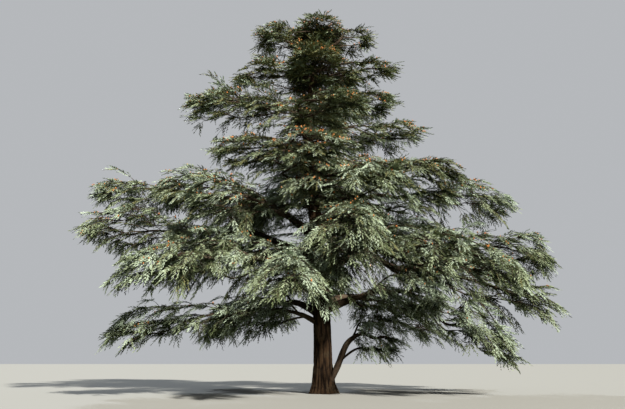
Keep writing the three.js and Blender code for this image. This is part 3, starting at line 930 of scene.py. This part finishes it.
storey_of = np.array([storey_number(tier) for tier in tiers])
spray_storey = storey_of[sprays[:, 9].astype(int)]
spray_root, spray_way, spray_length = sprays[:, 0:3], sprays[:, 3:6], sprays[:, 6:7]
nodes_in = {
    storey: [f"foliage_{tier}" for tier in tiers if storey_number(tier) == k]
    for k, storey in enumerate(STOREYS)
}
for k, storey in enumerate(STOREYS):
    mine = np.flatnonzero(storey_of[branch_tier] == k)
    points = np.stack([on_branch(mine, np.full(len(mine), share))[0] for share in BRANCH_SHARES], axis=1)
    girth = (TWIG_GIRTH + TWIG_THICKENING * branch_length[mine])[:, None] * BRANCH_TAPER
    corners, triangles = tubes(points, girth, TWIG_SIDES)
    new_piece(f"branches_{storey}", corners, triangles, TWIG_BARK, nodes_in[storey])
    mine = spray_storey == k
    corners, triangles = blades(
        spray_root[mine], spray_way[mine], spray_length[mine] * SHOOT_SHARE, SHOOT_WIDTH, UP
    )
    new_piece(
        f"shoots_{storey}", corners, triangles, TWIG_BARK, nodes_in[storey], smooth=False
    )
print("branch and shoot triangles:", triangles_of("branches", "shoots"))

# %% Needles
NEEDLES = 8  # on a spray, each one in place of a tuft of real ones
NEEDLE_LENGTH = 0.215
NEEDLE_WIDTH = 0.058
FIRST_NEEDLE = 0.6  # of the step from needle to needle
NEEDLE_SPLAY, NEEDLE_SPREAD = (32, 8), 6  # degrees from the shoot, at its foot and tip, and their variety
SHOOT_SAG = 0.1
SPRAY_ROLL = 0.45
ASIDE, ABOVE = (0.75, 1.0), (-0.35, 0.75)  # how far needles stand out to the side, and up from the shoot
NEEDLE_SIZE, TIP_LOSS, SIZE_VARIETY = 1.1, 0.3, (0.8, 1.15)
FACE_SPREAD = 0.45


def needles_on(root, way, length):
    """Corners and triangles of the needles on sprays. They stand at even steps along the shoot, to the
    left and the right by turns, and lean forwards, the more the nearer they are to the tip."""
    count = len(root)
    at = (np.arange(NEEDLES) + FIRST_NEEDLE) / NEEDLES
    base = root[:, None] + way[:, None] * (length * at)[..., None]
    base = base - UP * (SHOOT_SAG * length * at**2)[..., None]
    aside = unit(np.cross(way, UP))
    above = np.cross(aside, way)
    roll = chance.normal(0, SPRAY_ROLL, (count, 1))
    aside, above = aside * np.cos(roll) + above * np.sin(roll), above * np.cos(roll) - aside * np.sin(roll)
    hand = np.where(np.arange(NEEDLES) % 2, 1.0, -1.0) * chance.uniform(*ASIDE, (count, NEEDLES))
    lift = chance.uniform(*ABOVE, (count, NEEDLES))
    splay = np.interp(at, (0, 1), NEEDLE_SPLAY) + chance.normal(0, NEEDLE_SPREAD, (count, NEEDLES))
    lean = np.radians(splay)
    outward = unit(aside[:, None] * hand[..., None] + above[:, None] * lift[..., None])
    direction = unit(way[:, None] * np.cos(lean)[..., None] + outward * np.sin(lean)[..., None])
    size = (NEEDLE_SIZE - TIP_LOSS * at) * chance.uniform(*SIZE_VARIETY, (count, NEEDLES))
    up = above[:, None] + chance.normal(0, FACE_SPREAD, (count, NEEDLES, 3))
    size = size[..., None]
    return blades(base, direction, NEEDLE_LENGTH * size, NEEDLE_WIDTH * size, up)


# %% Deal out the tints
# A spray's tint is painted light and shade, with some random tone: the more light its place would get, on a
# shelf's top, at the rim, away from the hollows and in some storeys, the paler it is
TINT_STEPS = (0.21, 0.36, 0.52)  # the exposures at which green, sage and silver begin
STOREY_LIGHT = np.array([0.07, 0, 0.02, 0.05, 0])
STOREY_FADED = np.array([0.0, 0.03, 0.12, 0.32, 0.45])  # the share of lit sprays that have faded to olive
LIGHT, LIGHT_SPREAD = 0.39, 0.07
LEVEL_LIGHT, RIM_LIGHT = 0.24, 0.24  # what the top of a shelf and its rim add
CLUMP_LIGHT, MIDDLE_CLUMP = 0.55, 0.56  # what a clump's noise adds, and where it adds nothing
level, outness = sprays[:, 7], sprays[:, 8]
exposure = LIGHT + LEVEL_LIGHT * level + RIM_LIGHT * (outness - 0.5)
exposure += chance.normal(0, LIGHT_SPREAD, len(sprays))
exposure += CLUMP_LIGHT * (clump - MIDDLE_CLUMP) + STOREY_LIGHT[spray_storey]
tint = np.digitize(exposure, TINT_STEPS)
faded = chance.random(len(sprays)) < STOREY_FADED[spray_storey]
tint = np.where(faded & (tint > 0), list(TINTS).index("olive"), tint)
for k, storey in enumerate(STOREYS):
    for number, (name, material) in enumerate(TINTS.items()):
        mine = (spray_storey == k) & (tint == number)
        if mine.any():
            corners, triangles = needles_on(spray_root[mine], spray_way[mine], spray_length[mine])
            piece_name = f"needles_{storey}_{name}"
            new_piece(piece_name, corners, triangles, material, nodes_in[storey], smooth=False)
print("needle triangles:", triangles_of("needles"))

# %% Cones
CONE_LEVEL = 0.1  # cones stand on top of a tier, on sprays above this level
CONE_SHARES = (0.03, 0.06, 0.14, 0.28, 0.3)  # of those sprays, that bear cones
CONES = 2  # on each of them
CONE_PLACES = (0.1, 0.8)  # of the spray's length
CONE_LEAN = 0.3
CONE_LENGTH = 0.1
CONE_RADIUS = 0.033
CONE_SIDES = 3
CONE_PROFILE = np.array([0.6, 1.0, 0.2])
for k, storey in enumerate(STOREYS):
    mine = (spray_storey == k) & (level > CONE_LEVEL) & (chance.random(len(sprays)) < CONE_SHARES[k])
    mine = np.repeat(np.flatnonzero(mine), CONES)
    place = chance.uniform(*CONE_PLACES, (len(mine), 1))
    foot = spray_root[mine] + spray_way[mine] * spray_length[mine] * place
    lean = unit(UP + chance.normal(0, CONE_LEAN, foot.shape)) * CONE_LENGTH
    points = foot[:, None] + lean[:, None] * np.linspace(0, 1, len(CONE_PROFILE))[:, None]
    corners, triangles = tubes(points, np.tile(CONE_PROFILE * CONE_RADIUS, (len(foot), 1)), CONE_SIDES)
    new_piece(f"cones_{storey}", corners, triangles, CONE, nodes_in[storey])
print("cone triangles:", triangles_of("cones"))
largest = max(made, key=made.get)
print("triangles in all:", sum(made.values()), "largest piece:", largest, made[largest])

# %% [markdown]
# ## Floor, light and camera
# The camera stands 34 metres in front of the trunk at eye height and looks up by 15 degrees. Its lens
# was worked out from the tree's true height and its height in the picture. A warm light in front on the
# right, 33 degrees up, gives the tiers bright tops and dark undersides, and a faint bluish one behind
# picks out their rims. What lies round a real tree gives back little light. So the floor and the
# backdrop look pale to the camera, but for all other rays they are darker.

# %% Camera
CAMERA_PLACE = (-0.57, -33.7, 1.6)
LOOKING_UP = 14.63  # degrees
LENS, SENSOR = 34.85, 36  # millimetres
FURTHEST_SEEN = 1000
camera = bpy.data.cameras.new("camera")
camera.lens, camera.sensor_width = LENS, SENSOR
camera.clip_end = FURTHEST_SEEN
viewpoint = bpy.data.objects.new("camera", camera)
viewpoint.location = CAMERA_PLACE
viewpoint.rotation_euler = (math.radians(90 + LOOKING_UP), 0, 0)
bpy.context.scene.collection.objects.link(viewpoint)
bpy.context.scene.camera = viewpoint
print("camera at", CAMERA_PLACE, "looking up by", LOOKING_UP, "degrees")

# %% Floor
FLOOR_REACH, FLOOR_DROP = 600, 0.004
FLOOR_CORNERS = [(-1, -1, 0), (1, -1, 0), (1, 1, 0), (-1, 1, 0)]
FLOOR_LOOK, FLOOR_LIGHT = (0.3, 0.3, 0.29), (0.07, 0.08, 0.045)  # its colour, and what it gives back


def straight_to_camera(nodes):
    """1 where the camera itself sees a surface, and 0 where that only lights other surfaces."""
    return Wire(nodes, nodes.new("ShaderNodeLightPath").outputs["Is Camera Ray"])


floor_mesh = bpy.data.meshes.new("floor")
floor_mesh.from_pydata(np.array(FLOOR_CORNERS) * FLOOR_REACH - UP * FLOOR_DROP, [], [(0, 1, 2, 3)])
floor_material, shader, nodes = new_material("floor", roughness=0.9)
floor_colour = mixed(straight_to_camera(nodes), FLOOR_LIGHT, FLOOR_LOOK)
floor_material.node_tree.links.new(floor_colour.socket, shader.inputs["Base Color"])
floor_mesh.materials.append(floor_material)
floor = bpy.data.objects.new("floor", floor_mesh)
bpy.context.scene.collection.objects.link(floor)
print("floor:", 2 * FLOOR_REACH, "metres across")

# %% Lights and backdrop
LIGHT_SIZE = 3  # degrees
LIGHTS = {  # the strength, the colour, and the degrees from straight above and round the tree
    "key": (9.2, (1.0, 0.96, 0.85), 57, 36),
    "back": (1.5, (0.85, 0.93, 1.0), 50, 205),
}
for name, (strength, colour, down, turn) in LIGHTS.items():
    sun = bpy.data.lights.new(name, "SUN")
    sun.energy, sun.angle, sun.color = strength, math.radians(LIGHT_SIZE), colour
    light = bpy.data.objects.new(name, sun)
    light.rotation_euler = (math.radians(down), 0, math.radians(turn))
    bpy.context.scene.collection.objects.link(light)
FILL, BRIGHTNESS = 0.15, 0.5  # the light that the backdrop gives, and how bright it looks
BACKDROP_COLOUR = (0.93, 0.96, 1.0, 1)
world = bpy.data.worlds.new("backdrop")
world.use_nodes = True
backdrop = next(node for node in world.node_tree.nodes if node.type == "BACKGROUND")
backdrop.inputs["Color"].default_value = BACKDROP_COLOUR
strength = straight_to_camera(world.node_tree.nodes) * (BRIGHTNESS - FILL) + FILL
world.node_tree.links.new(strength.socket, backdrop.inputs["Strength"])
bpy.context.scene.world = world
bpy.context.scene.view_settings.view_transform = "Standard"
print("lights:", ", ".join(LIGHTS))
